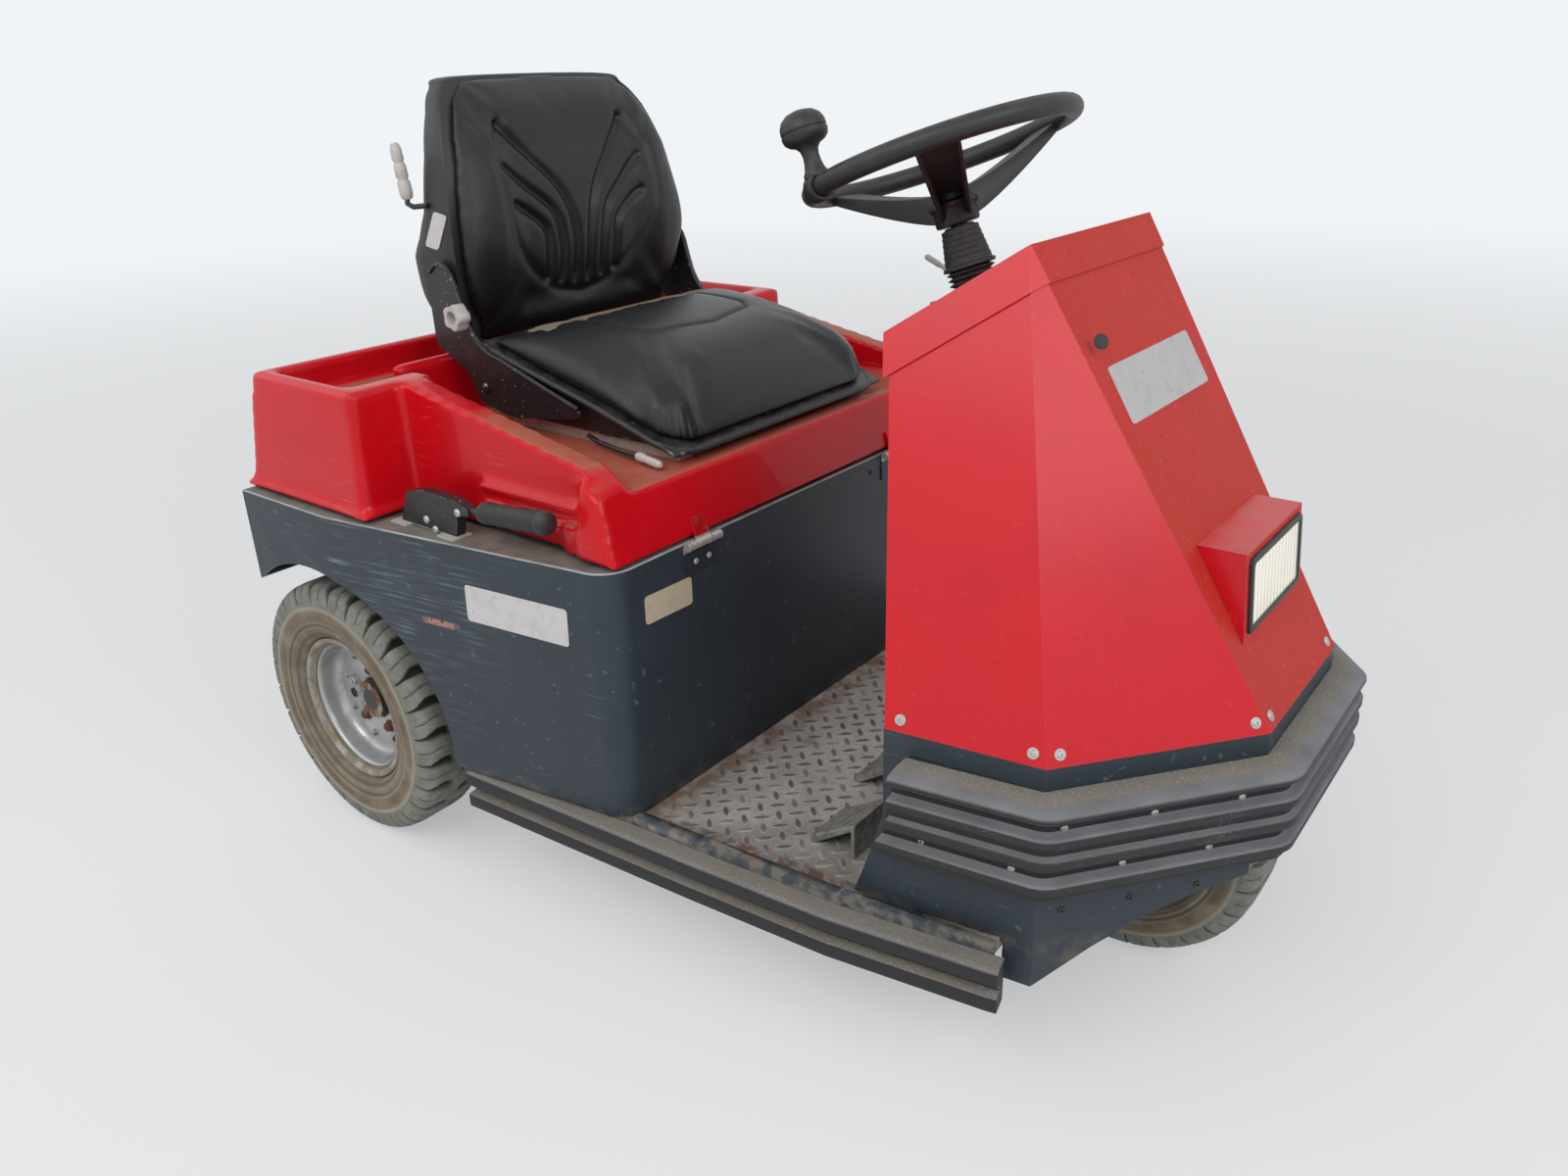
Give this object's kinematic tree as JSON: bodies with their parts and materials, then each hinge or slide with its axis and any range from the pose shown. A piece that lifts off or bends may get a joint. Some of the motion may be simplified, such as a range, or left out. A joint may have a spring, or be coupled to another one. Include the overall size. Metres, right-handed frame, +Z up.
{
  "type": "three-wheeled battery baggage tug",
  "caption": "Seated three-wheeled battery tug: grey box on two rear wheels, folded red nose over a steered wheel, tilting seat lid, rear pin coupling.",
  "frame": {"origin": "on the floor under the middle of the whole vehicle", "axes": "+X forward, +Y driver's left, +Z up"},
  "size_m": [1.54, 0.984, 1.106],
  "materials": {
    "red_paint": "gloss",
    "grey_paint": "satin",
    "black_paint": "satin",
    "steel": "worn",
    "zinc": "satin",
    "grp_red": "gloss",
    "vinyl": "satin",
    "rubber": "matte",
    "tyre": "matte",
    "rim_paint": "satin",
    "lens": "clear",
    "white_plastic": "matte",
    "black_plastic": "matte",
    "lamp_red": "gloss",
    "battery": "matte"
  },
  "bodies": {
    "chassis": {"rails": "black_paint", "cross_members": "black_paint", "rear_axle": "black_paint", "drive_unit": "grey_paint", "battery": "battery", "body_box": "grey_paint", "floor_plate": "steel", "sill_right": "rubber", "sill_left": "rubber", "nose_base": "grey_paint", "front_bumper": "rubber", "wheel_box": "grey_paint", "head_bridge": "black_paint", "nose_cowl": "red_paint", "nose_cap": "red_paint", "lamp_box": "red_paint", "lamp_lens": "lens", "steering_column": "black_paint", "column_boot": "rubber", "stalk": "white_plastic", "pedals": "steel", "hinge_leaves": "zinc", "brake_bracket": "black_paint", "brake_lever": "black_plastic", "coupling": "black_paint", "rear_lamps": "lamp_red"},
    "lid": {"lid": "grp_red", "lid_leaves": "zinc", "seat_slides": "zinc", "seat_pan": "black_paint", "seat_cushion": "vinyl", "back_shell": "black_plastic", "back_cushion": "vinyl", "seat_arms": "black_paint", "seat_knob": "white_plastic", "seat_levers": "white_plastic"},
    "wheel_right": {"rim_right": "rim_paint", "tyre_right": "tyre"},
    "wheel_left": {"rim_left": "rim_paint", "tyre_left": "tyre"},
    "fork": {"fork": "black_paint"},
    "front_wheel": {"rim_front": "rim_paint", "tyre_front": "tyre"},
    "steering": {"steering_wheel": "black_plastic", "spinner_knob": "black_plastic"}
  },
  "joints": [
    {"name": "wheel_right_turn", "type": "hinge", "parent": "chassis", "child": "wheel_right", "pos_m": [-0.535, -0.431, 0.2075], "axis": [0, 1, 0], "continuous": true},
    {"name": "wheel_left_turn", "type": "hinge", "parent": "chassis", "child": "wheel_left", "pos_m": [-0.535, 0.431, 0.2075], "axis": [0, 1, 0], "continuous": true},
    {"name": "fork_steer", "type": "hinge", "parent": "chassis", "child": "fork", "pos_m": [0.539, 0, 0.43], "axis": [0, 0, 1], "range_deg": [-75, 75]},
    {"name": "front_wheel_turn", "type": "hinge", "parent": "fork", "child": "front_wheel", "pos_m": [0.539, 0, 0.1875], "axis": [0, 1, 0], "continuous": true},
    {"name": "steering_turn", "type": "hinge", "parent": "chassis", "child": "steering", "pos_m": [0.217, 0, 1.006], "axis": [-0.342, 0, 0.9397], "range_deg": [-180, 180]},
    {"name": "lid_tilt", "type": "hinge", "parent": "chassis", "child": "lid", "pos_m": [0.025, 0, 0.541], "axis": [0, 1, 0], "range_deg": [0, 50]}
  ],
  "couplings": [
    {"joint": "steering_turn", "follows": "fork_steer", "ratio": 2.4}
  ]
}
